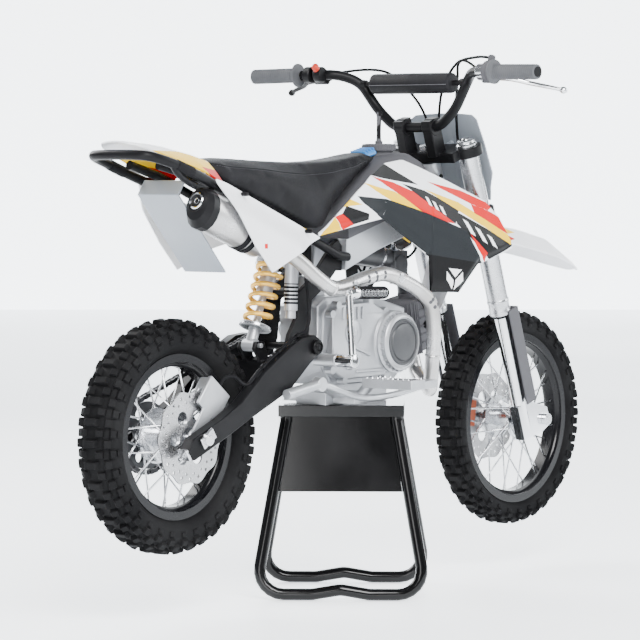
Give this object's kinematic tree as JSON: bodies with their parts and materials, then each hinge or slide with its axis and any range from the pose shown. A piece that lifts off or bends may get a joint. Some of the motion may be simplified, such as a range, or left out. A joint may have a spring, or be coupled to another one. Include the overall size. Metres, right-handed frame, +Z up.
{
  "type": "motorcycle",
  "caption": "Small off-road motorcycle with knobbly tyres and a high exhaust, held under its engine by a black paddock stand.",
  "frame": {"origin": "centre of the overall box in X and Y, on the floor", "axes": "+X towards the front wheel, +Y to the rider's left, +Z up"},
  "size_m": [1.653, 0.7698, 1.1353],
  "materials": {
    "stand_black": "gloss",
    "frame_silver": "satin",
    "black_metal": "satin",
    "cast_silver": "as cast",
    "clutch_grey": "satin",
    "brushed": "brushed",
    "chrome": "polished",
    "spring_orange": "gloss",
    "seat_cover": "grained vinyl",
    "dark_plastic": "matte",
    "white_plastic": "gloss",
    "grey_plastic": "matte",
    "rubber_black": "matte",
    "rubber_grey": "matte",
    "tyre_black": "matte",
    "rim_black": "gloss",
    "hub_silver": "machined",
    "disc_steel": "ground",
    "caliper_red": "satin",
    "chain_steel": "oiled"
  },
  "bodies": {
    "frame": {"stand_top": "stand_black", "stand_legs": "stand_black", "frame_spars": "frame_silver", "frame_plates": "black_metal", "subframe": "black_metal", "grab_rail": "black_metal", "engine_case": "cast_silver", "engine_cylinder": "black_metal", "clutch_cover": "clutch_grey", "carburettor": "dark_plastic", "header_pipe": "brushed", "muffler": "brushed", "swingarm": "black_metal", "rear_shock": "cast_silver", "shock_spring": "spring_orange", "seat": "seat_cover", "fuel_tank": "dark_plastic", "right_shroud": "white_plastic", "left_shroud": "white_plastic", "right_side_panel": "white_plastic", "left_side_panel": "white_plastic", "rear_fender": "white_plastic", "mudflap": "grey_plastic", "footpegs": "cast_silver", "brake_pedal": "cast_silver", "gear_lever": "cast_silver", "kick_starter": "chrome", "rear_caliper": "cast_silver", "rear_brake_hose": "rubber_black", "drive_chain": "chain_steel", "rear_axle": "hub_silver", "frame_cables": "rubber_black"},
    "steering": {"triple_clamps": "black_metal", "fork_tubes": "hub_silver", "fork_legs": "chrome", "fork_guards": "dark_plastic", "front_axle": "hub_silver", "handlebar": "black_metal", "bar_brace": "black_metal", "grips": "rubber_grey", "bar_pad": "seat_cover", "brake_lever": "chrome", "clutch_lever": "black_metal", "front_fender": "white_plastic", "number_plate": "grey_plastic", "front_caliper": "caliper_red", "front_brake_hose": "rubber_black", "bar_cables": "rubber_black"},
    "rear_wheel": {"rear_tyre": "tyre_black", "rear_rim": "rim_black", "rear_hub": "hub_silver", "rear_disc": "disc_steel", "rear_sprocket": "black_metal"},
    "front_wheel": {"front_tyre": "tyre_black", "front_rim": "rim_black", "front_hub": "hub_silver", "front_disc": "disc_steel"}
  },
  "joints": [
    {"name": "steering", "type": "hinge", "parent": "frame", "child": "steering", "pos_m": [0.2605, 0, 0.941], "axis": [-0.3256, 0, 0.9455], "range_deg": [-42, 42]},
    {"name": "rear_wheel_spin", "type": "hinge", "parent": "frame", "child": "rear_wheel", "pos_m": [-0.5915, 0, 0.365], "axis": [0, 1, 0], "continuous": true},
    {"name": "front_wheel_spin", "type": "hinge", "parent": "steering", "child": "front_wheel", "pos_m": [0.5685, 0, 0.336], "axis": [0, 1, 0], "continuous": true}
  ]
}
